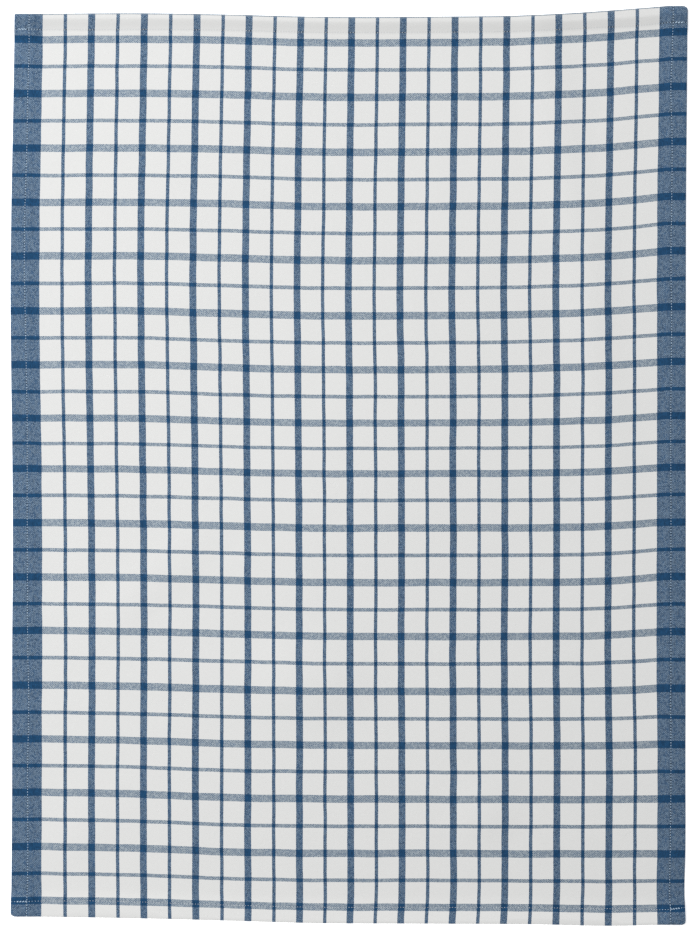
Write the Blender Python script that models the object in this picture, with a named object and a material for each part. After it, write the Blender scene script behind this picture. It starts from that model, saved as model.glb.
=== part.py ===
"""A tea towel laid out flat, face up: one woven cotton cloth with four double-turned hems.

The cloth is measured on itself: `across` runs from its middle to the right, and
`from_top` runs down from its folded top edge. A few short tables say how far the
laid cloth sways sideways, drops towards its bottom edge and swells off the surface.

Frame: +X to the right of the towel, +Y to its top edge, +Z up out of its face. The
origin is the middle of its footprint, and its underside lies on z = 0.
Sizes and tables are in millimetres.
"""

from collections import namedtuple

import bmesh
import bpy
import numpy as np

MM = 0.001  # metres in a millimetre

# The cloth, between its folded edges.
WIDTH = 500.0
LENGTH = 674.0

# Thickness of a single layer, with its nap and the air that it traps.
LAYER = 1.0

# The section of a hem: three layers folded at the rim, lying on the surface. Past
# the inner fold the single layer comes down to the surface again. Both columns add
# to the flat single layer, and where two hems cross, their rises add up.
Hem = namedtuple("Hem", "from_edge face_rise under_rise")
HEM = (
    Hem(0.0, 0.45, 0.40),
    Hem(0.7, 0.90, 0.00),
    Hem(2.4, 1.00, 0.00),
    Hem(7.0, 1.00, 0.00),
    Hem(12.6, 1.00, 0.00),
    Hem(13.2, 0.95, 0.90),
    Hem(19.0, 0.35, 0.30),
    Hem(25.0, 0.00, 0.00),
)

# Steps of the mesh between the hems.
STEP_ACROSS = 16.0
STEP_DOWN = 20.0

# How far the laid cloth sways to the right of where a true rectangle would lie.
Sway = namedtuple("Sway", "from_top left_edge left_lines right_lines right_edge")
SWAY_ACROSS = (-WIDTH / 2, -212.0, 212.0, WIDTH / 2)
SWAY = (
    Sway(0.0, 1.9, 1.6, 1.5, 1.4),
    Sway(70.0, 0.9, 0.4, 0.8, 0.8),
    Sway(150.0, -0.7, -0.8, -0.4, 0.2),
    Sway(200.0, -1.2, -1.1, -0.7, 0.1),
    Sway(260.0, -0.8, -0.6, -0.4, -0.1),
    Sway(320.0, 0.0, 0.5, -0.4, -0.2),
    Sway(400.0, 0.5, 1.3, -0.7, -0.2),
    Sway(480.0, -0.1, 1.5, -1.0, -0.3),
    Sway(560.0, -0.2, 1.2, 0.0, -0.4),
    Sway(640.0, -0.7, 1.2, -0.1, -0.7),
    Sway(LENGTH, -1.1, 1.2, -0.1, 0.4),
)

# How far each weft drops below where a true rectangle would have it, by column.
Drop = namedtuple(
    "Drop", "from_top left_edge left left_middle middle right_middle right outer right_edge"
)
DROP_ACROSS = (-235.0, -150.0, -100.0, -30.0, 60.0, 145.0, 190.0, 235.0)
DROP = (
    Drop(0.0, -2.2, -2.5, -1.8, 0.0, -0.1, -1.9, -4.8, -7.2),
    Drop(140.0, -1.8, -1.8, -1.1, 1.2, 1.3, 0.2, -1.8, -5.3),
    Drop(260.0, -1.5, -1.5, 0.2, 2.0, 2.1, 0.7, -1.1, -3.1),
    Drop(340.0, -5.3, -4.0, -2.7, -1.2, -1.3, -1.7, -2.9, -5.2),
    Drop(460.0, -4.8, -4.0, -2.8, -1.0, -0.3, -0.6, -1.4, -3.6),
    Drop(540.0, -4.4, -3.4, -1.9, -0.4, 0.3, 0.3, 0.1, -0.8),
    Drop(LENGTH, -5.3, -3.6, -2.4, -0.4, 0.1, 0.7, 1.2, 0.6),
)

# Round of each corner of the outline.
Corner = namedtuple("Corner", "side end radius")
CORNERS = (
    Corner("left", "top", 0.8),
    Corner("right", "top", 3.6),
    Corner("left", "bottom", 2.0),
    Corner("right", "bottom", 2.2),
)

# The soft crest that runs down the right side, and how wide it spreads each way.
Crest = namedtuple("Crest", "from_top across height")
CREST = (
    Crest(0.0, 150.0, 1.0),
    Crest(70.0, 160.0, 1.2),
    Crest(140.0, 177.0, 1.2),
    Crest(240.0, 194.0, 0.8),
    Crest(380.0, 210.0, 0.4),
    Crest(460.0, 212.0, 0.0),
)
CREST_SPREAD = 30.0

# The other soft swellings: where, how long and wide from the middle, how turned.
Swelling = namedtuple("Swelling", "across from_top half_length half_width turn height")
SWELLINGS = (
    Swelling(10.0, 340.0, 190.0, 120.0, 70.0, 1.0),
    Swelling(-22.0, 488.0, 60.0, 34.0, 30.0, 1.2),
    Swelling(92.0, 574.0, 46.0, 28.0, 8.0, 1.0),
    Swelling(-150.0, 425.0, 90.0, 28.0, 42.0, 0.8),
    Swelling(-105.0, 205.0, 80.0, 40.0, 20.0, 0.6),
    Swelling(-200.0, 610.0, 60.0, 36.0, 35.0, 0.6),
)

COTTON = (0.66, 0.71, 0.77, 1.0)  # white ground and blue lines, seen from far off


def curve(stations, values, at):
    """A smooth curve through its stations, read at each place in `at`.

    `values` has a number for each station, or a row of numbers, one for each place.
    """
    x = np.asarray(stations, float)
    at = np.clip(at, x[0], x[-1])
    y = np.broadcast_to(np.reshape(values, (len(x), -1)), (len(x), at.size))
    slope = np.gradient(y, x, axis=0)
    low = np.clip(np.searchsorted(x, at) - 1, 0, len(x) - 2)
    place = np.arange(at.size)
    gap = x[low + 1] - x[low]
    u = (at - x[low]) / gap
    blend = u * u * (3 - 2 * u)
    bend = slope[low, place] * (1 - u) - slope[low + 1, place] * u
    return y[low, place] * (1 - blend) + y[low + 1, place] * blend + gap * u * (1 - u) * bend


def column(table, name):
    """One named column of a table."""
    return [getattr(row, name) for row in table]


def surface(table, across_stations, across, from_top):
    """A table with a row for each station down and a column for each one across."""
    down = column(table, "from_top")
    by_row = [curve(across_stations, row[1:], across) for row in table]
    return curve(down, by_row, from_top)


def hump(distance):
    """1 in the middle, falling softly to 0 at a distance of 1 and past it."""
    return np.cos(np.pi / 2 * np.clip(distance, 0, 1)) ** 2


def lift(across, from_top):
    """Height of the crest and the swellings at each place on the cloth."""
    down = column(CREST, "from_top")
    crest_line = curve(down, column(CREST, "across"), from_top)
    crest_height = curve(down, column(CREST, "height"), from_top)
    total = crest_height * hump(abs(across - crest_line) / CREST_SPREAD)
    for swelling in SWELLINGS:
        turn = np.radians(swelling.turn)
        right, up = across - swelling.across, swelling.from_top - from_top
        along = (right * np.cos(turn) + up * np.sin(turn)) / swelling.half_length
        aside = (up * np.cos(turn) - right * np.sin(turn)) / swelling.half_width
        total = total + swelling.height * hump(np.hypot(along, aside))
    return total


def rounded(across, from_top):
    """The cloth's places with the corners of its rectangle pulled in to their rounds."""
    across, from_top = across.copy(), from_top.copy()
    for corner in CORNERS:
        side = 1 if corner.side == "right" else -1
        end = 1 if corner.end == "bottom" else -1
        centre_across = side * (WIDTH / 2 - corner.radius)
        centre_down = LENGTH / 2 + end * (LENGTH / 2 - corner.radius)
        out = side * (across - centre_across)
        down = end * (from_top - centre_down)
        inside = (out > 0) & (down > 0)
        pull = np.where(inside, np.maximum(out, down) / np.maximum(np.hypot(out, down), 1e-9), 1)
        across = np.where(inside, centre_across + side * out * pull, across)
        from_top = np.where(inside, centre_down + end * down * pull, from_top)
    return across, from_top


def laid(across, from_top):
    """Where each place of the cloth lies on the surface."""
    right = across + surface(SWAY, SWAY_ACROSS, across, from_top)
    down = from_top + surface(DROP, DROP_ACROSS, across, from_top)
    return right, -down


def hem_rise(name, across, from_top):
    """What the side hem and the end hem together add at each place."""
    from_side = WIDTH / 2 - abs(across)
    from_end = LENGTH / 2 - abs(from_top - LENGTH / 2)
    edge, rise = column(HEM, "from_edge"), column(HEM, name)
    return np.interp(from_side, edge, rise) + np.interp(from_end, edge, rise)


def steps(span, step):
    """Distances from one edge to the other: close together in the hems, then even."""
    near = column(HEM, "from_edge")
    first, last = near[-1], span - near[-1]
    count = round((last - first) / step)
    between = np.linspace(first, last, count + 1)[1:-1]
    return np.concatenate([near, between, span - np.array(near[::-1])])


def grid_quads(columns, rows):
    """Quads of a grid of points, counted row by row from the top, facing up."""
    for row in range(rows - 1):
        for start in range(row * columns, row * columns + columns - 1):
            yield start, start + columns, start + columns + 1, start + 1


def border(columns, rows):
    """The grid's outer points in turn, from the top left corner down and around."""
    last_row = (rows - 1) * columns
    left = [row * columns for row in range(rows)]
    bottom = [last_row + k for k in range(1, columns)]
    right = [row * columns + columns - 1 for row in range(rows - 2, -1, -1)]
    top = list(range(columns - 2, 0, -1))
    return left + bottom + right + top


def towel_mesh():
    """The face, the underside and the rim between them, as one closed mesh."""
    across_steps = steps(WIDTH, STEP_ACROSS) - WIDTH / 2
    down_steps = steps(LENGTH, STEP_DOWN)
    columns, rows = len(across_steps), len(down_steps)
    across = np.tile(across_steps, rows)
    from_top = np.repeat(down_steps, columns)

    x, y = laid(*rounded(across, from_top))
    x = x - (x.min() + x.max()) / 2
    y = y - (y.min() + y.max()) / 2
    under = hem_rise("under_rise", across, from_top) + lift(across, from_top)
    face = LAYER + hem_rise("face_rise", across, from_top) + lift(across, from_top)

    shape = bmesh.new()
    top = [shape.verts.new(point) for point in np.column_stack([x, y, face]) * MM]
    bottom = [shape.verts.new(point) for point in np.column_stack([x, y, under]) * MM]
    for quad in grid_quads(columns, rows):
        shape.faces.new([top[k] for k in quad])
        shape.faces.new([bottom[k] for k in reversed(quad)])
    rim = border(columns, rows)
    for here, following in zip(rim, rim[1:] + rim[:1]):
        shape.faces.new([top[following], top[here], bottom[here], bottom[following]])
    bmesh.ops.triangulate(shape, faces=shape.faces)

    mesh = bpy.data.meshes.new("tea_towel")
    shape.to_mesh(mesh)
    shape.free()
    mesh.shade_smooth()
    mesh.set_sharp_from_angle(angle=np.radians(50))
    return mesh


def cotton():
    """Plain woven cotton: matt, with no metal in it."""
    material = bpy.data.materials.new("woven_cotton")
    material.use_nodes = True
    shader = material.node_tree.nodes["Principled BSDF"]
    shader.inputs["Base Color"].default_value = COTTON
    shader.inputs["Roughness"].default_value = 0.9
    shader.inputs["Metallic"].default_value = 0.0
    return material


def main():
    for old in list(bpy.data.objects):
        bpy.data.objects.remove(old, do_unlink=True)
    towel = bpy.data.objects.new("tea_towel", towel_mesh())
    towel.data.materials.append(cotton())
    bpy.context.scene.collection.objects.link(towel)


main()
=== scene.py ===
"""Looks of the tea towel: the woven check, the turned hems, the sewing and the light.

The cloth is one sheet. It is folded here from its flat cut: the two side hems first,
then the two end hems, each turned under twice. `across` runs from the middle of the
cut to the right, and `from_top` runs down from the folded top edge, so cloth past a
folded edge has an `across` beyond half the width, or a `from_top` below 0 or beyond
the length. Tables and sizes are in millimetres.
"""

from collections import namedtuple

import bpy
import numpy as np
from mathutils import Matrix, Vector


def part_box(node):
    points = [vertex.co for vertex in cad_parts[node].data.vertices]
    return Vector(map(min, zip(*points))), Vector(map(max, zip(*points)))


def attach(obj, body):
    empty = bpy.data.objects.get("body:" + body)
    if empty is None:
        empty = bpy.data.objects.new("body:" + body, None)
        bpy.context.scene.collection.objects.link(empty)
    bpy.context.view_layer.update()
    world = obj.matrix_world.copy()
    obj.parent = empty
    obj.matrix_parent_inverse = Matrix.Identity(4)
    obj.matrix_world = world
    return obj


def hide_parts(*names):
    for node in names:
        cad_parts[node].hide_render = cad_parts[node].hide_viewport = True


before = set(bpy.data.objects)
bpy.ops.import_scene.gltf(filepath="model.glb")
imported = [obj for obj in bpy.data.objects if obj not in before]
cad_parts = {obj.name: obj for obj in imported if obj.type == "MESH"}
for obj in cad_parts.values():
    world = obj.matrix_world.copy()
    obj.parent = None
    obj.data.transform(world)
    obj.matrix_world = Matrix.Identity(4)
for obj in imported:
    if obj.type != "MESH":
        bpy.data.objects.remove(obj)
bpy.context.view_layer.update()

MM = 0.001  # metres in a millimetre

# The cloth between its folded edges, as in its solid.
WIDTH = 500.0
LENGTH = 674.0

# One layer of cotton, half the gap between two layers in a hem, and the height that
# a layer takes up with its gaps.
LAYER = 0.38
GAP = 0.025
STACK = LAYER + 2 * GAP

# Hems: cloth past each folded edge, depth of the side hems, and how far from a hem
# the single layer takes to come down to the surface.
TURNED = 25.0
SIDE_DEPTH = 13.2
RAMP = 8.0
CORNER_PRESS = 0.25  # the nine layers of a corner are sewn down by this share
SEAM_PINCH = 0.16  # a row of stitches pulls the layers together by this share
SEAM_REACH = 0.8  # how far to each side of the row this shows

# Cells of the mesh along a hem: the ramp, up to the seam, over it, on to the rim,
# round the rim, back underneath, round the inner fold and along the tucked layer.
HEM_CELLS = (6, 1, 4, 5, 8, 4, 5, 3)
SEAM_CELLS_REACH = 1.0  # how far the cells over the seam go to each side of it
FIELD_CELLS_ACROSS = 104
FIELD_CELLS_DOWN = 146

# How far the laid cloth sways to the right of where a true rectangle would lie.
Sway = namedtuple("Sway", "from_top left_edge left_lines right_lines right_edge")
SWAY_ACROSS = (-WIDTH / 2, -212.0, 212.0, WIDTH / 2)
SWAY = (
    Sway(0.0, 1.7, 1.6, 1.8, 1.4),
    Sway(70.0, 0.5, 0.4, 1.1, 0.85),
    Sway(150.0, -1.0, -0.8, 0.0, 0.2),
    Sway(200.0, -1.5, -1.1, -0.4, 0.1),
    Sway(260.0, -1.1, -0.6, -0.1, 0.0),
    Sway(320.0, -0.3, 0.4, -0.3, 0.0),
    Sway(400.0, 0.2, 1.3, -0.5, 0.0),
    Sway(480.0, -0.35, 1.5, -0.6, -0.1),
    Sway(560.0, -0.35, 1.2, 0.5, -0.25),
    Sway(620.0, -0.6, 1.2, 0.1, -0.3),
    Sway(650.0, -0.85, 1.2, -0.1, -0.95),
    Sway(LENGTH, -1.3, 1.2, -0.1, -0.1),
)

# How much further right than that the upright lines between the sides bow.
Bow = namedtuple(
    "Bow",
    "from_top left_edge left_lines left middle_left "
    "middle middle_right right right_lines right_edge",
)
BOW_ACROSS = (-WIDTH / 2, -212.0, -135.0, -56.0, 20.0, 97.0, 173.0, 212.0, WIDTH / 2)
BOW = (
    Bow(0.0, 0.0, 0.0, 1.0, 1.2, -0.4, -0.8, -0.6, 0.0, 0.0),
    Bow(90.0, 0.0, 0.0, 0.9, 0.9, -0.1, -0.3, -0.2, 0.0, 0.0),
    Bow(170.0, 0.0, 0.0, 0.3, 0.9, 0.3, 0.1, 0.1, 0.0, 0.0),
    Bow(250.0, 0.0, 0.0, 0.2, 0.5, -0.2, 0.0, 0.0, 0.0, 0.0),
    Bow(330.0, 0.0, 0.0, -0.3, 0.1, -0.2, 0.1, 0.2, 0.0, 0.0),
    Bow(410.0, 0.0, 0.0, -0.8, -0.4, -0.4, 0.3, 0.5, 0.0, 0.0),
    Bow(490.0, 0.0, 0.0, -1.7, -1.5, -1.6, -0.7, 0.1, 0.0, 0.0),
    Bow(570.0, 0.0, 0.0, -1.8, -2.1, -2.8, -2.4, -1.0, 0.0, 0.0),
    Bow(612.0, 0.0, 0.0, -1.9, -2.0, -2.2, -1.7, -0.7, 0.0, 0.0),
    Bow(650.0, 0.0, 0.0, -2.3, -2.6, -3.2, -2.5, -0.9, 0.0, 0.0),
)

# How far each weft drops below where a true rectangle would have it, by column.
Drop = namedtuple(
    "Drop", "from_top left_edge left left_middle middle right_middle right outer right_edge"
)
DROP_ACROSS = (-235.0, -150.0, -100.0, -30.0, 60.0, 145.0, 190.0, 235.0)
DROP = (
    Drop(0.0, -2.1, -2.5, -1.7, 0.0, 0.0, -1.5, -4.4, -7.9),
    Drop(140.0, -1.8, -1.8, -1.0, 1.1, 1.2, 0.2, -1.7, -6.1),
    Drop(260.0, -1.7, -1.6, 0.2, 1.9, 2.0, 0.8, -0.9, -4.1),
    Drop(340.0, -5.0, -4.2, -2.7, -1.2, -1.3, -1.7, -2.8, -6.0),
    Drop(460.0, -5.1, -4.0, -2.7, -0.9, -0.5, -0.6, -1.3, -4.4),
    Drop(540.0, -5.0, -3.4, -1.6, -0.4, 0.1, 0.2, 0.2, -1.0),
    Drop(650.0, -5.2, -3.6, -1.7, -0.1, 0.1, 0.6, 1.0, 0.6),
    Drop(LENGTH, -5.3, -3.8, -2.5, -0.5, 0.0, 0.6, 1.6, 0.8),
)

# The wefts aren't beaten up evenly: how much further all of them drop.
Beat = namedtuple("Beat", "from_top drop")
BEAT = (
    Beat(0.0, 0.3),
    Beat(40.0, -0.3),
    Beat(80.0, 0.0),
    Beat(140.0, 0.2),
    Beat(180.0, -0.4),
    Beat(220.0, 0.1),
    Beat(262.0, 0.3),
    Beat(300.0, 1.4),
    Beat(320.0, 1.1),
    Beat(342.0, 0.3),
    Beat(380.0, 0.9),
    Beat(430.0, 0.7),
    Beat(470.0, 0.2),
    Beat(520.0, 0.8),
    Beat(560.0, 0.1),
    Beat(650.0, 0.15),
    Beat(LENGTH, -0.1),
)

# Round of each corner of the outline.
Corner = namedtuple("Corner", "side end radius")
CORNERS = (
    Corner("left", "top", 0.8),
    Corner("right", "top", 3.6),
    Corner("left", "bottom", 3.2),
    Corner("right", "bottom", 3.0),
)

# The soft crest that runs down the right side, and how wide it spreads each way.
Crest = namedtuple("Crest", "from_top across height")
CREST = (
    Crest(0.0, 142.0, 1.0),
    Crest(70.0, 150.0, 1.0),
    Crest(140.0, 166.0, 0.9),
    Crest(200.0, 178.0, 1.0),
    Crest(260.0, 182.0, 1.0),
    Crest(320.0, 192.0, 0.7),
    Crest(380.0, 205.0, 0.4),
    Crest(460.0, 212.0, 0.0),
)
CREST_SPREAD = 30.0

# The other soft swellings: where, how long and wide from the middle, how turned.
Swelling = namedtuple("Swelling", "across from_top half_length half_width turn height")
SWELLINGS = (
    Swelling(0.0, 330.0, 230.0, 165.0, 70.0, 2.2),
    Swelling(-32.0, 494.0, 70.0, 48.0, 0.0, 2.2),
    Swelling(100.0, 592.0, 36.0, 32.0, 0.0, 1.2),
    Swelling(-150.0, 425.0, 90.0, 28.0, 42.0, 0.8),
    Swelling(-105.0, 205.0, 80.0, 40.0, 20.0, 0.6),
    Swelling(-200.0, 610.0, 60.0, 36.0, 35.0, 0.6),
)

# Fine unevenness of the weave on top of them: wavelength, its direction, how high.
Ripple = namedtuple("Ripple", "wavelength turn height")
RIPPLES = (
    Ripple(41.0, 12.0, 0.030),
    Ripple(33.0, 74.0, 0.030),
    Ripple(23.0, 131.0, 0.020),
    Ripple(17.0, 48.0, 0.012),
    Ripple(12.5, 100.0, 0.008),
)

# Distance of the side seams from their edges.
SideSeam = namedtuple("SideSeam", "from_top left right")
SIDE_SEAMS = (
    SideSeam(0.0, 11.0, 11.0),
    SideSeam(33.0, 11.2, 11.4),
    SideSeam(60.0, 10.8, 12.2),
    SideSeam(94.0, 10.9, 11.0),
    SideSeam(140.0, 10.3, 10.7),
    SideSeam(184.0, 10.2, 11.1),
    SideSeam(230.0, 11.0, 10.6),
    SideSeam(304.0, 11.3, 11.2),
    SideSeam(360.0, 10.7, 11.0),
    SideSeam(430.0, 10.7, 11.0),
    SideSeam(474.0, 11.2, 10.9),
    SideSeam(514.0, 12.0, 11.1),
    SideSeam(560.0, 11.2, 11.1),
    SideSeam(624.0, 11.5, 11.5),
    SideSeam(LENGTH, 11.2, 11.2),
)

# Distance of the end seams from their edges, and the depth of the end hems.
EndHem = namedtuple("EndHem", "across top_seam top_depth bottom_seam bottom_depth")
END_HEMS = (
    EndHem(-250.0, 12.1, 14.1, 11.6, 13.6),
    EndHem(-225.0, 12.1, 14.1, 11.9, 13.8),
    EndHem(-200.0, 12.5, 14.4, 12.5, 14.2),
    EndHem(-120.0, 12.1, 14.1, 12.2, 13.8),
    EndHem(0.0, 11.9, 14.3, 12.3, 13.8),
    EndHem(120.0, 11.9, 14.7, 12.5, 14.0),
    EndHem(185.0, 12.2, 15.2, 12.6, 14.1),
    EndHem(212.0, 13.1, 15.5, 12.3, 13.9),
    EndHem(231.0, 12.7, 15.5, 11.4, 13.8),
    EndHem(250.0, 12.7, 15.5, 13.3, 14.8),
)

# An end hem on the whole, for the rows on which the side hems' lines are laid out.
END_SEAM = 12.0
END_DEPTH = 13.8

# An end hem's tucked layer counts as there from this far inside the hem.
TUCKED_MARGIN = 0.2

# Where an end seam starts and stops, the thread runs back over itself: from and to
# which distance from the side edge.
Tack = namedtuple("Tack", "side end outer inner")
TACKS = (
    Tack("left", "top", 3.0, 9.2),
    Tack("right", "top", 3.2, 9.9),
    Tack("left", "bottom", 4.1, 11.4),
    Tack("right", "bottom", 4.0, 11.4),
)

# Its two runs: how much nearer to the towel's edge than the seam each one lies, and by
# which share of a stitch its dips are moved.
TackRun = namedtuple("TackRun", "nearer phase")
TACK_RUNS = (
    TackRun(0.3, 0.3),
    TackRun(-0.25, 0.6),
)

# The check. Its lines are thin and thick in turn, a whole number of threads wide.
WARP_LINES = 19.28  # from one upright line to the next, with a thick one in the middle
WARP_THREAD = WARP_LINES / 30  # from one warp thread to the next
WEFT_LINES = 20.06  # from one level line to the next
WEFT_THREAD = WEFT_LINES / 29  # from one weft thread to the next
FIRST_WEFT_LINE = 19.6  # a thick one, this far below the folded top edge
THICK = 8  # threads in a thick line
THIN = 4  # threads in a thin line
BAND = 21.0  # width of the blue band that shows along each side

# Colours of the yarns. A white one over a blue one lets some of the blue through.
WHITE_YARN = (0.761, 0.765, 0.756)
TINTED_WARP = (0.366, 0.424, 0.472)
TINTED_WEFT = (0.285, 0.382, 0.480)
BLUE_YARN = (0.008, 0.055, 0.136)
WEFT_SHARE = 0.30  # of the face that the weft makes up
EVENED = 0.4  # how far white and blue even each other out
EVENED_ACROSS = 0.08  # the same in a level line, where the warp is white

# The lines and bands have painted sheen from the window: paler most at the upper left, and
# darker towards the lower right. All are shares of the light.
PAINTED_SHEEN = 0.02  # how much paler they are on the whole
PAINTED_SHEEN_ASIDE = 0.06  # paler by this at the left edge, and darker by it at the right
PAINTED_SHEEN_UP = 0.055  # the same from the top edge to the bottom

# The end hems lie level in the mesh. How they lean is in their tone alone, and so is
# the blue line of the layer tucked under the top one. All are shares of the light.
TOP_DARKER = 0.08  # the top hem leans away from the window
BOTTOM_PALER = 0.045  # the bottom hem leans towards it
BOTTOM_TURN = 0.03  # paler by this at its right end, and darker by it at its left end
STREAK = 0.06  # how much darker the tucked line makes the top hem's face
STREAK_OUTSIDE = 3.0  # how far out from the line's edge the streak starts
STREAK_INSIDE = 2.5  # and how far in from there it is full

# The rim of the top hem is worn, and has painted shade along its fold: both start this far off
# it, and are full this far.
WORN_SHADED_FROM = 1.8
WORN_SHADED_FULL = 0.6
WORN_BLUE = 0.55  # share of the blue that is left
# how much darker the painted shade along the rim makes it
RIM_SHADE_DARKER = 0.12

# Heights of the two yarns in the weave, as shares: how far each rises and dives, how
# round each is, how much lower the weft lies, and how uneven that is from float to float.
WAVE = 1.0
WARP_ROUND = 0.9
WEFT_ROUND = 0.6
WEFT_LOWER = 1.0
UNEVEN = 1.4
YARN_HEIGHT = 0.16  # millimetres
OVERLAP = 0.12  # two yarns blend where their heights differ by less than this

# Noise in the weave: so many waves in a millimetre, along a yarn and aside of it. The
# yarns wander, have thin and thick places (slubs), and are made of fibres.
WANDER = 0.5  # millimetres, from one side to the other
WANDER_ALONG = 0.05
WANDER_ASIDE = 0.02
SLUBS_ALONG = 0.35
SLUBS_BY_YARN = 7.3  # waves from one yarn to the next, so that each has its own
FIBRES_ALONG = 2.2
FIBRES_ASIDE = 9.0
FIBRES_DETAIL = 2.0
PATCHES = 0.9  # where the weft shows more or less

# The tone of the weave: shares of the light, of the dye and of the relief.
TONE = 0.95
WHITE_GRAIN = 0.35  # how much of its grain plain white cloth shows, against a line
FIBRES_TONE = 0.12
SLUBS_TONE = 0.06
FIBRES_DYE = 0.5
SLUBS_DYE = 0.9
CREVICE_SHADE = 0.16  # painted shade, from the top of a yarn down to the dark between the yarns
CREVICE_LOW = -0.4  # the heights of the two
CREVICE_HIGH = 1.2
FIBRES_RELIEF = 0.35
RELIEF = 0.55
ROUGHNESS = 0.68
FIBRES_ROUGHNESS = 0.25

# Sewing: where a seam starts, the length of a stitch, and the thread. It dips into the
# cloth at each end of a stitch.
SEAM_START = 0.7  # from the towel's edge
STITCH = 2.05
THREAD_WIDTH = 0.39
THREAD_HEIGHT = 0.24
THREAD_RINGS = 8  # rings of the tube in one stitch
THREAD_SIDES = 6
THREAD_WAVE = 0.25  # how far it rises and dips
THREAD_SUNK = 0.15  # how far its middle lies below the face of the cloth
END_SUNK = 0.23  # the end seams are pulled tighter
TACK_SUNK = 0.10
THREAD_PROUD = THREAD_WAVE - TACK_SUNK + THREAD_HEIGHT / 2  # from the cloth it is on
THREAD_DARK = (0.52, 0.55, 0.59)  # its fibres, from the darkest to the palest
THREAD_PALE = (0.80, 0.83, 0.86)
BLUED_DARK = (0.42, 0.56, 0.76)  # the same on a band, where blue shows through
BLUED_PALE = (0.68, 0.86, 0.98)
THREAD_FIBRES = 3000.0  # waves of its noise in a metre

# Painted shade in the hole that the needle leaves where the thread dips: how far the shade
# reaches, how dark it is, and how much of that shows over white cloth and where two lines cross.
HOLE_SHADE_REACH = 0.84
HOLE_SHADE_DARK = 0.6
HOLE_SHADE_ON_WHITE = 0.15
HOLE_SHADE_ON_CROSSING = 0.3

# The layout of the texture to bake, in shares of its side. Face and back each have four marks:
# the end of the cloth, the start of the open part, its end, and the other end of the
# cloth. What is hidden in the hems is squeezed between the first two and the last two.
FACE_U = (0.004, 0.012, 0.617, 0.625)
FACE_V = (0.996, 0.988, 0.012, 0.004)
BACK_U = (0.633, 0.645, 0.973, 0.985)
BACK_V = (0.996, 0.976, 0.024, 0.004)
EDGE_U = (0.989, 0.996)
EDGE_V = (0.004, 0.996)
BACK_MARGIN = 1.0  # the open part of the back goes this far in under the hems


def curve(stations, values, at):
    """A smooth curve through its stations, read at each place in `at`.

    `values` has a number for each station, or a row of numbers, one for each place.
    """
    x = np.asarray(stations, float)
    at = np.clip(at, x[0], x[-1])
    y = np.broadcast_to(np.reshape(values, (len(x), -1)), (len(x), at.size))
    slope = np.gradient(y, x, axis=0)
    low = np.clip(np.searchsorted(x, at) - 1, 0, len(x) - 2)
    place = np.arange(at.size)
    gap = x[low + 1] - x[low]
    u = (at - x[low]) / gap
    blend = u * u * (3 - 2 * u)
    bend = slope[low, place] * (1 - u) - slope[low + 1, place] * u
    return y[low, place] * (1 - blend) + y[low + 1, place] * blend + gap * u * (1 - u) * bend


def column(table, name):
    """One named column of a table."""
    return [getattr(row, name) for row in table]


def read(table, key, name, at):
    """A table's column read at each place along another."""
    return curve(column(table, key), column(table, name), at)


def surface(table, across_stations, across, from_top):
    """A table with a row for each station down and a column for each one across."""
    down = column(table, "from_top")
    by_row = [curve(across_stations, row[1:], across) for row in table]
    return curve(down, by_row, from_top)


def hump(distance):
    """1 in the middle, falling softly to 0 at a distance of 1 and past it."""
    return np.cos(np.pi / 2 * np.clip(distance, 0, 1)) ** 2


def drape(share):
    """From 0 to 1 as cloth that lies flat, then comes up over the edge of a hem."""
    return np.clip(share, 0, 1) ** 2


def lift(across, from_top):
    """Height of the crest, the swellings and the ripples at each place."""
    crest_line = read(CREST, "from_top", "across", from_top)
    crest_height = read(CREST, "from_top", "height", from_top)
    total = crest_height * hump(abs(across - crest_line) / CREST_SPREAD)
    for swelling in SWELLINGS:
        turn = np.radians(swelling.turn)
        right, up = across - swelling.across, swelling.from_top - from_top
        along = (right * np.cos(turn) + up * np.sin(turn)) / swelling.half_length
        aside = (up * np.cos(turn) - right * np.sin(turn)) / swelling.half_width
        total = total + swelling.height * hump(np.hypot(along, aside))
    for ripple in RIPPLES:
        turn = np.radians(ripple.turn)
        along = across * np.cos(turn) + from_top * np.sin(turn)
        total = total + ripple.height * (1 + np.sin(2 * np.pi * along / ripple.wavelength))
    return total


def rounded(across, from_top):
    """The cloth's places with the corners of its rectangle pulled in to their rounds."""
    across, from_top = across.copy(), from_top.copy()
    for corner in CORNERS:
        side = 1 if corner.side == "right" else -1
        end = 1 if corner.end == "bottom" else -1
        centre_across = side * (WIDTH / 2 - corner.radius)
        centre_down = LENGTH / 2 + end * (LENGTH / 2 - corner.radius)
        out = side * (across - centre_across)
        down = end * (from_top - centre_down)
        inside = (out > 0) & (down > 0)
        pull = np.where(inside, np.maximum(out, down) / np.maximum(np.hypot(out, down), 1e-9), 1)
        across = np.where(inside, centre_across + side * out * pull, across)
        from_top = np.where(inside, centre_down + end * down * pull, from_top)
    return across, from_top


def laid(across, from_top):
    """Where each place of the cloth lies on the surface."""
    sway = surface(SWAY, SWAY_ACROSS, across, from_top)
    bow = surface(BOW, BOW_ACROSS, across, from_top)
    drop = surface(DROP, DROP_ACROSS, across, from_top)
    beat = read(BEAT, "from_top", "drop", from_top)
    return across + sway + bow, -(from_top + drop + beat)


def fold_marks(stack, depth):
    """Along the cloth, past the edge: half the rim's arc, and the start of the inner fold."""
    rim = np.pi / 2 * stack
    return rim, depth - 2.5 * stack + rim


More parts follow.
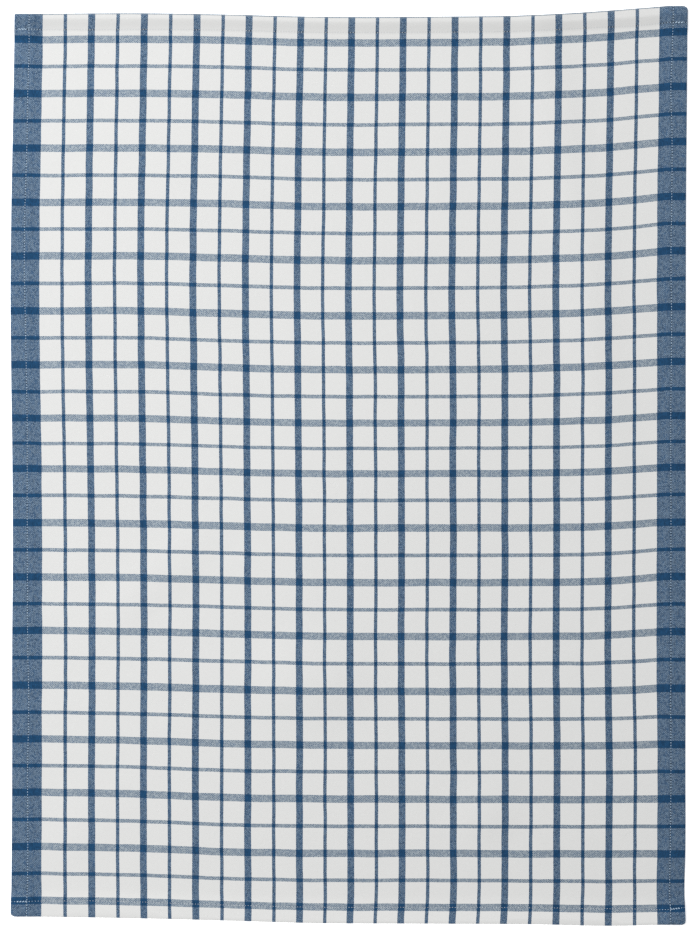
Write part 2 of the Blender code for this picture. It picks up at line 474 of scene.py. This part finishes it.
def fold(past_edge, height, stack, depth, seam):
    """One hem. Turns a distance along the cloth past the folded edge, and a height in
    the stack of layers that is folded, into a place past the edge and a height over
    the surface. The stack is folded round the rim, back underneath, then round the
    inner fold and back in between."""
    rim, turn = fold_marks(stack, depth)
    face = past_edge + rim - 1.5 * stack
    rim_angle = (past_edge + rim) / stack
    turn_angle = (past_edge - turn) / (stack / 2)
    parts = [past_edge < -rim, past_edge < rim, past_edge < turn, past_edge < turn + rim]
    place = np.select(
        parts,
        [
            face,
            (stack / 2 + height) * np.sin(rim_angle) - 1.5 * stack,
            rim - 1.5 * stack - past_edge,
            stack - depth - height * np.sin(turn_angle),
        ],
        stack - depth + past_edge - turn - rim,
    )
    above = np.select(
        parts,
        [
            2 * stack * drape(1 + (face + depth) / RAMP) + height,
            (stack / 2 + height) * np.cos(rim_angle) + 1.5 * stack,
            stack - height,
            stack - height * np.cos(turn_angle),
        ],
        stack + height,
    )
    pinch = SEAM_PINCH * np.exp(-(((place + seam) / SEAM_REACH) ** 2))
    return place, above + (1.5 * stack - above) * pinch


def side_seam(across, from_top):
    """Distance of the nearer side seam from its edge."""
    left = read(SIDE_SEAMS, "from_top", "left", from_top)
    right = read(SIDE_SEAMS, "from_top", "right", from_top)
    return np.where(across < 0, left, right)


def stack_at(across):
    """Height of what an end hem folds at a place: one layer, or a side hem's three."""
    rise = drape(1 + (abs(across) - WIDTH / 2 + SIDE_DEPTH) / RAMP)
    return STACK * (1 + 2 * rise) * (1 - CORNER_PRESS * rise)


def end_hem(across, at_top):
    """Distance of the nearer end seam from its edge, and depth of its hem."""
    seams = [read(END_HEMS, "across", name, across) for name in ("top_seam", "bottom_seam")]
    depths = [read(END_HEMS, "across", name, across) for name in ("top_depth", "bottom_depth")]
    return np.where(at_top, *seams), np.where(at_top, *depths)


def folded(across, from_top, layer):
    """Folds the flat cut: across, down from the top edge, and height over the surface."""
    side, past_side = np.sign(across), abs(across) - WIDTH / 2
    seam = side_seam(across, from_top)
    place, height = fold(past_side, layer + GAP, STACK, SIDE_DEPTH, seam)
    middle, _ = fold(past_side, np.full_like(layer, STACK / 2), STACK, SIDE_DEPTH, seam)
    side_rise = drape(1 + (middle + SIDE_DEPTH) / RAMP)

    at_top = from_top < LENGTH / 2
    past_end = np.where(at_top, -from_top, from_top - LENGTH)
    seam, depth = end_hem(side * (WIDTH / 2 + middle), at_top)
    end_rise = drape(1 + (past_end + depth) / RAMP)
    press = 1 - CORNER_PRESS * side_rise * end_rise
    stack = STACK * (1 + 2 * side_rise) * press
    end_place, above = fold(past_end, height * press, stack, depth, seam)
    down = np.where(at_top, -end_place, LENGTH + end_place)
    return side * (WIDTH / 2 + place), down, above


def place_cloth(across, from_top, layer):
    """Where points of the flat cut lie in space, before the towel is centred."""
    shape = np.shape(across)
    across, from_top = np.ravel(across).astype(float), np.ravel(from_top).astype(float)
    layer = np.broadcast_to(layer, shape).ravel().astype(float)
    right, down, above = folded(across, from_top, layer)
    above = above + lift(right, down)
    x, y = laid(*rounded(right, down))
    return np.column_stack([x, y, above])


def off_seam(across, from_top):
    """How far places on the cut are from the nearer side seam, and from the end seam.
    Cloth that is turned under at an end counts as far from both."""
    from_side = WIDTH / 2 - abs(across)
    from_end = LENGTH / 2 - abs(from_top - LENGTH / 2)
    seam, _ = end_hem(across, from_top < LENGTH / 2)
    turned_under = WIDTH * (from_end < 0)
    off_side = from_side - side_seam(across, from_top) + turned_under
    return np.column_stack([off_side, from_end - seam])


def whole_stitches(span):
    """How many stitches fill a span."""
    return round(span / STITCH)


def hem_stations(stack, depth, seam):
    """Distances past the edge where the mesh has its lines, from the field outwards."""
    rim, turn = fold_marks(stack, depth)
    marks = np.broadcast_arrays(
        -depth - RAMP,
        -depth,
        -seam - SEAM_CELLS_REACH,
        -seam + SEAM_CELLS_REACH,
        -rim,
        rim,
        turn,
        turn + rim,
        TURNED,
    )
    lines = [
        start + (end - start) * k / cells
        for start, end, cells in zip(marks, marks[1:], HEM_CELLS)
        for k in range(cells)
    ]
    return np.array(lines + [marks[-1]])


def joined(first, last, cells):
    """Two hems' lines with the even lines of the field between them."""
    shares = np.linspace(0, 1, cells + 1)[1:-1]
    between = [first[-1] + (last[0] - first[-1]) * share for share in shares]
    return np.concatenate([first, between, last])


def cut_grid():
    """The mesh's lines on the flat cut, as an array of places across and one down."""
    ends = hem_stations(STACK, END_DEPTH, END_SEAM)
    rows = joined(-ends[::-1], LENGTH + ends, FIELD_CELLS_DOWN)
    seams = [side_seam(side * np.ones_like(rows), rows) for side in (-1, 1)]
    left, right = (WIDTH / 2 + hem_stations(STACK, SIDE_DEPTH, seam) for seam in seams)
    across = joined(-left[::-1], right, FIELD_CELLS_ACROSS).T

    hems = []
    for row, at_top in ((0, True), (-1, False)):
        line = across[row]
        layer = np.full_like(line, LAYER / 2)
        middle, _, _ = folded(line, np.full_like(line, LENGTH / 2), layer)
        seam, depth = end_hem(middle, at_top)
        hems.append(hem_stations(stack_at(middle), depth, seam))
    from_top = joined(-hems[0][::-1], LENGTH + hems[1], FIELD_CELLS_DOWN)
    return across, from_top


def tucked_under(across, from_top):
    """For the face of an end hem: which place of the cut is tucked under it, as a
    distance from the top edge, and 1 where there is such a layer."""
    at_top = from_top < LENGTH / 2
    past_end = np.where(at_top, -from_top, from_top - LENGTH)
    _, depth = end_hem(np.clip(across, -WIDTH / 2, WIDTH / 2), at_top)
    rim, turn = fold_marks(STACK, depth)
    tucked = past_end + depth - STACK + turn + rim
    there = (past_end > TUCKED_MARGIN - depth) & (tucked < TURNED) & (past_end < 0)
    return np.where(at_top, -tucked, LENGTH + tucked), there.astype(float)


def grid_quads(rows, columns, start):
    """Corners of a grid's quads, facing up where rows run down and columns right."""
    corner = start + np.arange(rows * columns).reshape(rows, columns)
    corners = [corner[:-1, :-1], corner[1:, :-1], corner[1:, 1:], corner[:-1, 1:]]
    return np.stack(corners, -1).reshape(-1, 4)


def border(rows, columns):
    """A grid's outer points in turn, from its first corner down and around."""
    index = np.arange(rows * columns).reshape(rows, columns)
    sides = [index[:, 0], index[-1, 1:], index[-2::-1, -1], index[0, -2:0:-1]]
    return np.concatenate(sides)


def mesh_object(name, points, quads, material):
    """An object from points in millimetres and quads."""
    mesh = bpy.data.meshes.new(name)
    mesh.from_pydata((points * MM).tolist(), [], quads.tolist())
    mesh.materials.append(material)
    mesh.polygons.foreach_set("use_smooth", np.ones(len(quads), bool))
    mesh.update()
    made = bpy.data.objects.new(name, mesh)
    bpy.context.scene.collection.objects.link(made)
    return made


def add_map(mesh, name, per_corner):
    """A UV map from a pair of numbers for each corner of each quad."""
    layer = mesh.uv_layers.new(name=name)
    layer.uv.foreach_set("vector", per_corner.astype(np.float32).ravel())


def bake_corners(across, from_top, quads):
    """The texture's layout: the face, the back beside it, and the cut edge beyond."""
    face, back, edge = quads
    count = across.size

    def on_texture(hidden_from, shares_u, shares_v):
        """The layout of one side, whose hidden cloth starts this far past each edge."""
        reach, open_reach = WIDTH / 2 + TURNED, WIDTH / 2 + hidden_from
        marks = (-reach, -open_reach, open_reach, reach)
        u = np.interp(across.ravel(), marks, shares_u)
        marks = (-TURNED, -hidden_from, LENGTH + hidden_from, LENGTH + TURNED)
        v = np.interp(from_top.ravel(), marks, shares_v)
        return np.column_stack([u, v])

    on_face = on_texture(SIDE_DEPTH, FACE_U, FACE_V)[face]
    on_back = on_texture(BACK_MARGIN - SIDE_DEPTH, BACK_U, BACK_V)[back - count]
    low, high = (np.full(len(edge), u) for u in EDGE_U)
    turn = np.linspace(*EDGE_V, len(edge) + 1)
    here, after = turn[:-1], turn[1:]
    strip = [(low, after), (low, here), (high, here), (high, after)]
    on_edge = np.stack([np.column_stack(corner) for corner in strip], 1)
    return np.concatenate([on_face, on_back, on_edge])


def cloth_object(material):
    """The towel's cloth as one closed sheet, and how far it was moved to be centred."""
    across, from_top = cut_grid()
    rows, columns = across.shape
    count = rows * columns
    face = place_cloth(across, from_top, LAYER)
    under = place_cloth(across, from_top, 0.0)
    points = np.concatenate([face, under])
    node_low, node_high = (np.array(corner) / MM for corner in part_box("tea_towel"))
    middle = (points.min(0) + points.max(0) - node_low - node_high) / 2
    shift = np.array([-middle[0], -middle[1], THREAD_PROUD])

    rim = border(rows, columns)
    after = np.roll(rim, -1)
    quads = [
        grid_quads(rows, columns, 0),
        grid_quads(rows, columns, count)[:, ::-1],
        np.column_stack([after, rim, rim + count, after + count]),
    ]
    all_quads = np.concatenate(quads)
    cloth = mesh_object("woven_cloth", points + shift, all_quads, material)
    add_map(cloth.data, "OFBake", bake_corners(across, from_top, quads))
    on_cut = np.tile(np.column_stack([across.ravel(), from_top.ravel()]), (2, 1))
    add_map(cloth.data, "cut", on_cut[all_quads])
    tucked = np.column_stack(tucked_under(across.ravel(), from_top.ravel()))
    add_map(cloth.data, "tucked", np.concatenate([tucked, tucked * (1, 0)])[all_quads])
    off_seams = off_seam(across.ravel(), from_top.ravel())
    add_map(cloth.data, "seams", np.concatenate([off_seams, off_seams + WIDTH])[all_quads])
    return cloth, shift


class Nodes:
    """Adds nodes to one material. Inputs may be numbers or other nodes' sockets."""

    def __init__(self, name):
        self.material = bpy.data.materials.new(name)
        self.material.use_nodes = True
        self.tree = self.material.node_tree
        self.shader = self.tree.nodes["Principled BSDF"]

    def add(self, kind, inputs=(), **settings):
        node = self.tree.nodes.new(kind)
        for name, value in settings.items():
            setattr(node, name, value)
        for key, value in dict(inputs).items():
            self.feed(node.inputs[key], value)
        return node

    def feed(self, socket, value):
        if isinstance(value, bpy.types.NodeSocket):
            self.tree.links.new(value, socket)
        elif isinstance(value, tuple) and len(value) == 3 and socket.type == "RGBA":
            socket.default_value = (*value, 1.0)
        else:
            socket.default_value = value

    def finish(self, **values):
        """Sets the shader's inputs, named as in Blender with _ for each space."""
        for name, value in values.items():
            self.feed(self.shader.inputs[name.replace("_", " ")], value)
        return self.material

    def math(self, operation, *values):
        return self.add("ShaderNodeMath", enumerate(values), operation=operation).outputs[0]

    def total(self, *values):
        result = values[0]
        for value in values[1:]:
            result = self.math("ADD", result, value)
        return result

    def product(self, *values):
        result = values[0]
        for value in values[1:]:
            result = self.math("MULTIPLY", result, value)
        return result

    def less(self, value, taken):
        return self.math("SUBTRACT", value, taken)

    def blend(self, share, start, end):
        """start where the share is 0 and end where it is 1, as numbers."""
        return self.math("MULTIPLY_ADD", share, self.less(end, start), start)

    def mix(self, share, start, end):
        """The same for colours."""
        node = self.add("ShaderNodeMix", data_type="RGBA")
        self.feed(node.inputs[0], share)
        self.feed(node.inputs[6], start)
        self.feed(node.inputs[7], end)
        return node.outputs[2]

    def scaled(self, colour, factor):
        node = self.add("ShaderNodeVectorMath", {0: colour, "Scale": factor}, operation="SCALE")
        return node.outputs[0]

    def ramp(self, value, low, high):
        """A soft step from 0 at low to 1 at high."""
        inputs = {"Value": value, "From Min": low, "From Max": high}
        return self.add("ShaderNodeMapRange", inputs, interpolation_type="SMOOTHSTEP").outputs[0]

    def uv(self, name):
        node = self.add("ShaderNodeUVMap", uv_map=name)
        split = self.add("ShaderNodeSeparateXYZ", {0: node.outputs[0]})
        return split.outputs[0], split.outputs[1]

    def vector(self, x, y):
        return self.add("ShaderNodeCombineXYZ", {0: x, 1: y}).outputs[0]

    def noise(self, x, y, per_x, per_y, detail=0.0):
        """Soft noise about 0, with per_x and per_y waves in each unit of x and y."""
        place = self.vector(self.product(x, per_x), self.product(y, per_y))
        inputs = {"Vector": place, "Scale": 1.0, "Detail": detail}
        node = self.add("ShaderNodeTexNoise", inputs, noise_dimensions="2D")
        return self.less(node.outputs[0], 0.5)

    def random(self, x, y):
        """A number from -0.5 to 0.5 for each pair of whole numbers."""
        inputs = {"Vector": self.vector(x, y)}
        node = self.add("ShaderNodeTexWhiteNoise", inputs, noise_dimensions="2D")
        return self.less(node.outputs[0], 0.5)


def yarns(nodes, place, thread):
    """Number of the thread at a place, its middle, and how far off its middle the place
    is, from -0.5 to 0.5."""
    counted = nodes.math("DIVIDE", place, thread)
    number = nodes.math("FLOOR", counted)
    middle = nodes.product(nodes.total(number, 0.5), thread)
    return number, middle, nodes.less(nodes.less(counted, number), 0.5)


def line_at(nodes, place, spacing, thread):
    """Distance from the middle of the nearest line of the check, and half its width.
    Even lines are thick and odd ones thin."""
    counted = nodes.math("DIVIDE", place, spacing)
    line = nodes.math("ROUND", counted)
    off = nodes.product(nodes.math("ABSOLUTE", nodes.less(counted, line)), spacing)
    odd = nodes.math("PINGPONG", line, 1.0)
    return off, nodes.blend(odd, THICK * thread / 2, THIN * thread / 2)


def wave(nodes, over, along):
    """How far a yarn rises where it passes over, and how far it dives where it doesn't."""
    rise = nodes.math("COSINE", nodes.product(along, np.pi))
    return nodes.product(rise, nodes.math("MULTIPLY_ADD", over, 2 * WAVE, -WAVE))


def dome(nodes, off, height):
    """The round of a yarn, from its middle to its side."""
    return nodes.math("MULTIPLY_ADD", nodes.product(off, off), -4 * height, height)


def needle_hole_shade(nodes, across, from_top):
    """Where the painted shade of the needle's holes goes: 1 in the holes of the sewing, where a
    thread dips, and 0 away from them.
    """
    off_side, off_end = nodes.uv("seams")
    seams = (
        (off_side, from_top, SEAM_START, LENGTH - SEAM_START),
        (off_end, across, SEAM_START - WIDTH / 2, WIDTH / 2 - SEAM_START),
    )
    hole_shade = 0.0
    for off, along, start, end in seams:
        span = end - start
        counted = nodes.product(nodes.less(along, start), whole_stitches(span) / span)
        aside = nodes.product(nodes.math("PINGPONG", nodes.total(counted, 0.5), 0.5), STITCH)
        squares = nodes.total(nodes.product(aside, aside), nodes.product(off, off))
        hole_shade = nodes.math("MAXIMUM", hole_shade, nodes.ramp(squares, HOLE_SHADE_REACH**2, 0.0))
    return hole_shade


def hem_shade(nodes, across, from_top):
    """How much darker an end hem is than the cloth beside it, or paler where negative."""
    tucked, there = nodes.uv("tucked")
    below_first = nodes.less(tucked, FIRST_WEFT_LINE)
    off, half = line_at(nodes, below_first, WEFT_LINES, WEFT_THREAD)
    beside = nodes.ramp(nodes.less(off, half), STREAK_OUTSIDE, -STREAK_INSIDE)
    top = nodes.total(nodes.blend(beside, 0.0, STREAK), TOP_DARKER)
    bottom = nodes.math("MULTIPLY_ADD", across, -2 * BOTTOM_TURN / WIDTH, -BOTTOM_PALER)
    at_bottom = nodes.math("GREATER_THAN", from_top, LENGTH / 2)
    return nodes.product(nodes.blend(at_bottom, top, bottom), there)


def painted_sheen(nodes, across, from_top):
    """How much paler a line or band is at a place, from the painted sheen of the window."""
    aside = nodes.product(across, -2 * PAINTED_SHEEN_ASIDE / WIDTH)
    up = nodes.product(nodes.less(from_top, LENGTH / 2), -2 * PAINTED_SHEEN_UP / LENGTH)
    return nodes.total(PAINTED_SHEEN, aside, up)


def weave_material():
    """Plain weave of white and blue yarns. Each waves over and under those that cross
    it, and the higher one at a place is the one that shows."""
    nodes = Nodes("woven_cotton")
    across, from_top = nodes.uv("cut")
    wander = nodes.noise(across, from_top, WANDER_ASIDE, WANDER_ALONG)
    place = nodes.total(across, nodes.product(wander, WANDER))
    warp, warp_middle, u = yarns(nodes, place, WARP_THREAD)
    wander = nodes.noise(across, from_top, WANDER_ALONG, WANDER_ASIDE)
    place = nodes.total(nodes.less(from_top, FIRST_WEFT_LINE), nodes.product(wander, WANDER))
    weft, weft_middle, v = yarns(nodes, place, WEFT_THREAD)

    in_line = nodes.math("LESS_THAN", *line_at(nodes, warp_middle, WARP_LINES, WARP_THREAD))
    from_middle = nodes.math("ABSOLUTE", warp_middle)
    in_band = nodes.math("GREATER_THAN", from_middle, WIDTH / 2 - BAND)
    warp_blue = nodes.math("MAXIMUM", in_line, in_band)
    weft_blue = nodes.math("LESS_THAN", *line_at(nodes, weft_middle, WEFT_LINES, WEFT_THREAD))

    # Which yarn is higher. Thin and thick places of each make the floats uneven.
    warp_slubs = nodes.noise(warp, from_top, SLUBS_BY_YARN, SLUBS_ALONG)
    weft_slubs = nodes.noise(weft, across, SLUBS_BY_YARN, SLUBS_ALONG)
    chance = nodes.random(warp, weft)
    patches = nodes.noise(across, from_top, PATCHES, PATCHES)
    uneven = nodes.total(chance, patches, nodes.less(warp_slubs, weft_slubs))
    lower = nodes.math("MULTIPLY_ADD", uneven, UNEVEN, WEFT_LOWER)
    weft_over = nodes.math("PINGPONG", nodes.total(warp, weft), 1.0)
    warp_over = nodes.less(1.0, weft_over)
    warp_height = nodes.total(wave(nodes, warp_over, v), dome(nodes, u, WARP_ROUND))
    weft_height = nodes.total(wave(nodes, weft_over, u), dome(nodes, v, WEFT_ROUND))
    weft_height = nodes.less(weft_height, lower)
    weft_shows = nodes.ramp(nodes.less(weft_height, warp_height), -OVERLAP, OVERLAP)
    height = nodes.math("MAXIMUM", warp_height, weft_height)

    # The yarn on top is white or blue, and light that goes from yarn to yarn evens it
    # out. A white yarn is tinted where it crosses a blue one.
    top = nodes.blend(weft_shows, warp_blue, weft_blue)
    across_line = nodes.product(weft_blue, nodes.less(1.0, warp_blue))
    evened = nodes.blend(across_line, EVENED, EVENED_ACROSS)
    blueness = nodes.blend(evened, top, nodes.blend(WEFT_SHARE, warp_blue, weft_blue))
    crossed = nodes.math("MAXIMUM", warp_blue, weft_blue)
    tinted = nodes.mix(weft_shows, TINTED_WARP, TINTED_WEFT)
    white = nodes.mix(crossed, WHITE_YARN, tinted)

    # Tone: fibres and slubs of each yarn, and painted shade down between the yarns.
    warp_fibres = nodes.noise(across, from_top, FIBRES_ASIDE, FIBRES_ALONG, FIBRES_DETAIL)
    weft_fibres = nodes.noise(across, from_top, FIBRES_ALONG, FIBRES_ASIDE, FIBRES_DETAIL)
    fibres = nodes.blend(weft_shows, warp_fibres, weft_fibres)
    slubs = nodes.blend(weft_shows, warp_slubs, weft_slubs)
    coarse = nodes.blend(crossed, WHITE_GRAIN, 1.0)
    high = nodes.less(nodes.ramp(height, CREVICE_LOW, CREVICE_HIGH), 0.5)
    crevice_shade = nodes.product(high, coarse, CREVICE_SHADE)
    grain = nodes.total(nodes.product(fibres, FIBRES_TONE), nodes.product(slubs, SLUBS_TONE))
    tone = nodes.total(TONE, crevice_shade, nodes.product(grain, coarse))
    dye = nodes.total(1.0, nodes.product(slubs, SLUBS_DYE), nodes.product(fibres, FIBRES_DYE))
    blue = nodes.scaled(BLUE_YARN, dye)

    # Painted shade in the needle's holes, wear and painted shade on the top rim, the end hems,
    # and the painted sheen on the lines and bands.
    # Painted shade in the needle's holes, weaker over white cloth and where two lines cross.
    on_blue = nodes.blend(weft_blue, 1.0, HOLE_SHADE_ON_CROSSING)
    hole_shade_shows = nodes.blend(warp_blue, HOLE_SHADE_ON_WHITE, on_blue)
    hole_shade = nodes.product(needle_hole_shade(nodes, across, from_top), hole_shade_shows)
    # Along the top rim wear takes some blue away, and painted shade darkens it.
    worn_and_shaded = nodes.ramp(nodes.math("ABSOLUTE", from_top), WORN_SHADED_FROM, WORN_SHADED_FULL)
    blueness = nodes.product(blueness, nodes.blend(worn_and_shaded, 1.0, WORN_BLUE))
    shade = hem_shade(nodes, across, from_top)
    dark = nodes.total(shade, nodes.product(hole_shade, HOLE_SHADE_DARK), nodes.product(worn_and_shaded, RIM_SHADE_DARKER))
    # Painted sheen from the window makes the lines and bands paler, most at the upper left.
    dark = nodes.less(dark, nodes.product(painted_sheen(nodes, across, from_top), crossed))
    lit = nodes.product(tone, nodes.less(1.0, dark))
    colour = nodes.scaled(nodes.mix(blueness, white, blue), lit)

    relief = nodes.math("MULTIPLY_ADD", fibres, FIBRES_RELIEF, height)
    inputs = {"Height": relief, "Distance": YARN_HEIGHT / 2 * MM}
    inputs["Strength"] = nodes.product(coarse, RELIEF)
    bump = nodes.add("ShaderNodeBump", inputs)
    return nodes.finish(
        Base_Color=colour,
        Normal=bump.outputs[0],
        Roughness=nodes.math("MULTIPLY_ADD", fibres, FIBRES_ROUGHNESS, ROUGHNESS),
        Specular_IOR_Level=0.17,
        Sheen_Weight=0.05,
        Sheen_Roughness=0.45,
    )


def thread_material():
    """White sewing thread with fine fibres, tinted where it lies on a blue band."""
    nodes = Nodes("white_thread")
    where = nodes.add("ShaderNodeNewGeometry").outputs["Position"]
    right = nodes.math("ABSOLUTE", nodes.add("ShaderNodeSeparateXYZ", {0: where}).outputs[0])
    on_band = nodes.math("GREATER_THAN", right, (WIDTH / 2 - BAND) * MM)
    inputs = {"Vector": where, "Scale": THREAD_FIBRES, "Detail": FIBRES_DETAIL}
    fibres = nodes.add("ShaderNodeTexNoise", inputs).outputs[0]
    inputs = {"Height": fibres, "Strength": 0.4, "Distance": 0.05 * MM}
    bump = nodes.add("ShaderNodeBump", inputs)
    white = nodes.mix(fibres, THREAD_DARK, THREAD_PALE)
    blued = nodes.mix(fibres, BLUED_DARK, BLUED_PALE)
    return nodes.finish(
        Base_Color=nodes.mix(on_band, white, blued),
        Normal=bump.outputs[0],
        Roughness=0.6,
        Specular_IOR_Level=0.3,
        Sheen_Weight=0.2,
    )


def tube(points):
    """A flattened tube along points that lie nearly level, with closed ends."""
    along = np.gradient(points, axis=0)
    aside = np.cross(along, (0, 0, 1))
    aside = aside / np.linalg.norm(aside, axis=1, keepdims=True)
    angles = np.linspace(0, 2 * np.pi, THREAD_SIDES, endpoint=False)
    wide = np.cos(angles)[None, :, None] * aside[:, None, :] * THREAD_WIDTH / 2
    high = np.sin(angles)[None, :, None] * np.array([0, 0, THREAD_HEIGHT / 2])
    rings = (points[:, None, :] + wide + high).reshape(-1, 3)

    count = len(points)
    ring = np.arange(count * THREAD_SIDES).reshape(count, THREAD_SIDES)
    turned = np.roll(ring, -1, axis=1)
    quads = np.stack([ring[:-1], ring[1:], turned[1:], turned[:-1]], -1).reshape(-1, 4)
    cap = [[0, 1, 2, 5], [2, 3, 4, 5]]  # two quads close a ring of six points
    last = (count - 1) * THREAD_SIDES
    caps = np.array(cap + [[last + k for k in quad[::-1]] for quad in cap])
    return rings, np.concatenate([quads, caps])


def stitches(across, from_top, phase=0.0, sunk=THREAD_SUNK):
    """Thread on the cloth along a line on the cut that has a ring at each point. It
    dips into the cloth at the ends of each stitch."""
    turn = 2 * np.pi * (np.arange(len(across)) / THREAD_RINGS + phase)
    rise = np.cos(turn) * THREAD_WAVE - sunk
    return place_cloth(across, from_top, LAYER + rise)


def sewing(name, lines, shift, material):
    """One row of sewing, as one object: the threads along the given lines."""
    all_points, all_quads, count = [], [], 0
    for line in lines:
        points, quads = tube(line + shift)
        all_points.append(points)
        all_quads.append(quads + count)
        count += len(points)
    return mesh_object(name, np.concatenate(all_points), np.concatenate(all_quads), material)


def ring_places(start, end):
    """Even places for the rings of a row of whole stitches."""
    count = whole_stitches(abs(end - start)) * THREAD_RINGS
    return np.linspace(start, end, count + 1)


def side_sewing(side, shift, material):
    """A side seam: thread on the face, and on the back of the hem."""
    down = ring_places(SEAM_START, LENGTH - SEAM_START)
    seam = side_seam(side * np.ones_like(down), down)
    rim, _ = fold_marks(STACK, SIDE_DEPTH)
    back = WIDTH / 2 + seam + rim - 1.5 * STACK
    lines = [
        stitches(side * (WIDTH / 2 - seam), down),
        stitches(side * back, down, 0.5),
    ]
    return sewing("sewing_left" if side < 0 else "sewing_right", lines, shift, material)


def end_sewing(end, shift, material):
    """An end seam, with the thread run back and forth where it starts and stops."""
    at_top = end == "top"
    places = ring_places(SEAM_START - WIDTH / 2, WIDTH / 2 - SEAM_START)
    seam, depth = end_hem(places, at_top)
    stack = stack_at(places)
    rim, _ = fold_marks(stack, depth)
    past = seam + rim - 1.5 * stack

    def down(past_edge):
        return -past_edge if at_top else LENGTH + past_edge

    lines = [
        stitches(places, down(-seam), 0.0, END_SUNK),
        stitches(places, down(past), 0.5, END_SUNK),
    ]
    for tack in TACKS:
        if tack.end != end:
            continue
        side = -1 if tack.side == "left" else 1
        back = ring_places(side * (WIDTH / 2 - tack.inner), side * (WIDTH / 2 - tack.outer))
        seam, _ = end_hem(back, at_top)
        for run in TACK_RUNS:
            lines.append(stitches(back, down(run.nearer - seam), run.phase, TACK_SUNK))
    return sewing("sewing_" + end, lines, shift, material)


# The view: straight down, through a long lens, framed as in the photograph.
IMAGE_HEIGHT = 942
SCALE = 0.7424  # millimetres of the laid towel to a pixel
FACE_HEIGHT = 1.5  # of the cloth's face over the floor, on the whole
LENS = 100.0
SENSOR = 36.0
VIEW_RIGHT = 0.7  # of the middle of the picture from the middle of the towel
VIEW_DOWN = 3.83

# The light: a soft window up to the left, in metres and watts, and a pale room.
WINDOW = (-1.85, 1.05, 2.4)
WINDOW_SIZE = 1.6
WINDOW_POWER = 86.0
ROOM = 0.45  # light from all round
FLOOR_REACH = 3000.0
FLOOR_WHITE = (0.93, 0.93, 0.93)
FLOOR_GLOW = 0.6


def add_camera():
    data = bpy.data.cameras.new("camera")
    data.lens, data.sensor_width = LENS, SENSOR
    data.clip_start, data.clip_end = 0.05, 20.0
    camera = bpy.data.objects.new("camera", data)
    height = IMAGE_HEIGHT * SCALE * LENS / SENSOR + FACE_HEIGHT
    camera.location = (VIEW_RIGHT * MM, -VIEW_DOWN * MM, height * MM)
    bpy.context.scene.collection.objects.link(camera)
    bpy.context.scene.camera = camera


def add_floor():
    """A pale floor that glows a little, so that it stays even around the towel."""
    nodes = Nodes("pale_floor")
    material = nodes.finish(
        Base_Color=FLOOR_WHITE,
        Roughness=0.9,
        Emission_Color=(1.0, 1.0, 1.0),
        Emission_Strength=FLOOR_GLOW,
    )
    corners = np.array([(-1, -1, 0), (1, -1, 0), (1, 1, 0), (-1, 1, 0)]) * FLOOR_REACH
    mesh_object("floor", corners, np.array([[0, 1, 2, 3]]), material)


def add_window():
    data = bpy.data.lights.new("window", "AREA")
    data.size, data.energy = WINDOW_SIZE, WINDOW_POWER
    light = bpy.data.objects.new("window", data)
    light.location = WINDOW
    light.rotation_euler = (-light.location).to_track_quat("-Z", "Y").to_euler()
    bpy.context.scene.collection.objects.link(light)


def add_world():
    world = bpy.data.worlds.new("pale_room")
    world.use_nodes = True
    background = world.node_tree.nodes["Background"]
    background.inputs["Color"].default_value = (1.0, 1.0, 1.0, 1.0)
    background.inputs["Strength"].default_value = ROOM
    bpy.context.scene.world = world


def main():
    bpy.context.scene.view_settings.view_transform = "Standard"
    # The weave is as fine as the picture's pixels, and the denoiser would wipe it out.
    bpy.context.scene.cycles.use_denoising = False
    add_camera()
    add_floor()
    add_world()
    add_window()

    cloth, shift = cloth_object(weave_material())
    thread = thread_material()
    seams = [side_sewing(side, shift, thread) for side in (-1, 1)]
    seams += [end_sewing(end, shift, thread) for end in ("top", "bottom")]
    for piece in [cloth, *seams]:
        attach(piece, "root")
    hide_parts("tea_towel")


main()
